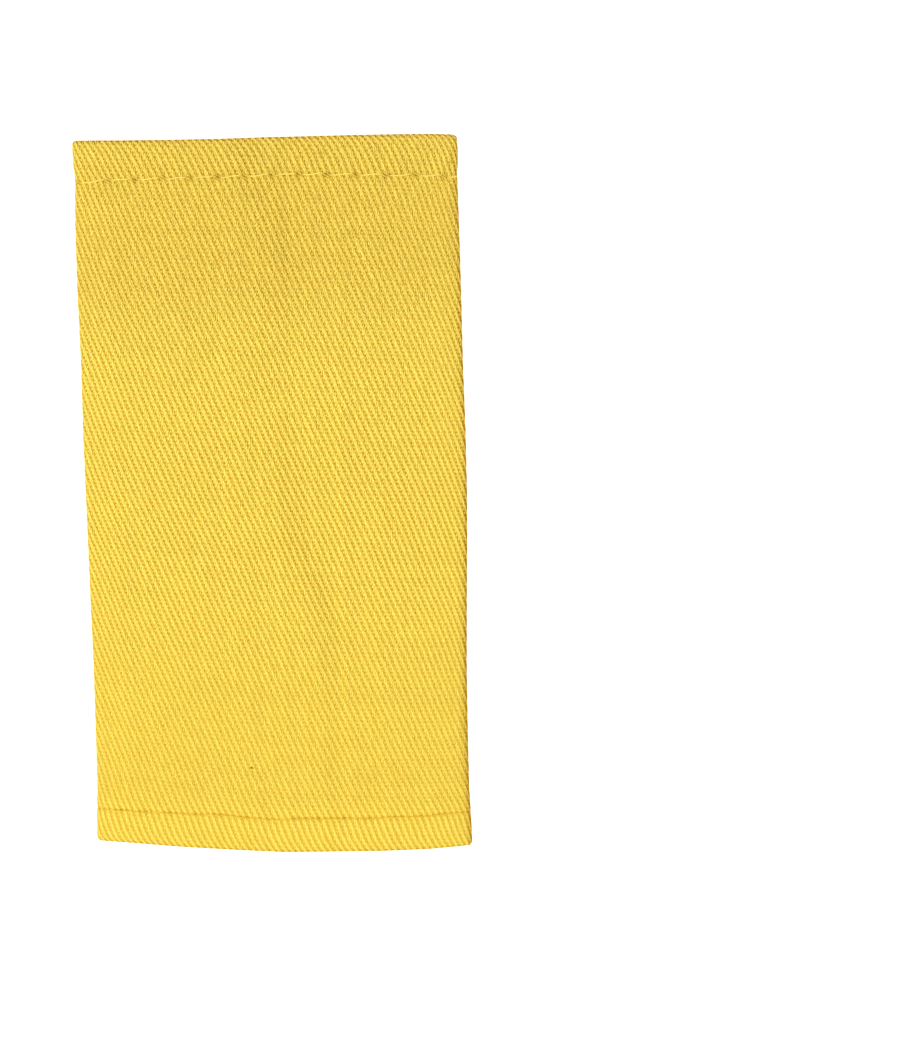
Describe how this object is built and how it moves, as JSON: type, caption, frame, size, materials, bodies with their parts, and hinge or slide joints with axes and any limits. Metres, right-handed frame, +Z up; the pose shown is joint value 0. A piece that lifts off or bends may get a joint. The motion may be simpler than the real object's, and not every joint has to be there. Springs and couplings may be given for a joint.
{
  "type": "slip-on shoulder board",
  "caption": "Plain yellow twill sleeve that slips over a shoulder strap, open at both ends, with stitched hems and a seam at the back.",
  "frame": {"origin": "middle of the outline, on the surface that the sleeve lies on", "axes": "+Z up out of the front; +Y along the length, to the end at the top of the picture; +X along the width"},
  "size_m": [0.0548, 0.1023, 0.0092],
  "materials": {
    "twill": "steep cotton twill, yellow, matt, with pale ribs",
    "overlocked_edge": "the same twill under overlock threads, matt"
  },
  "bodies": {
    "root": {"sleeve": "twill", "seam_allowance": "overlocked_edge"}
  },
  "joints": []
}
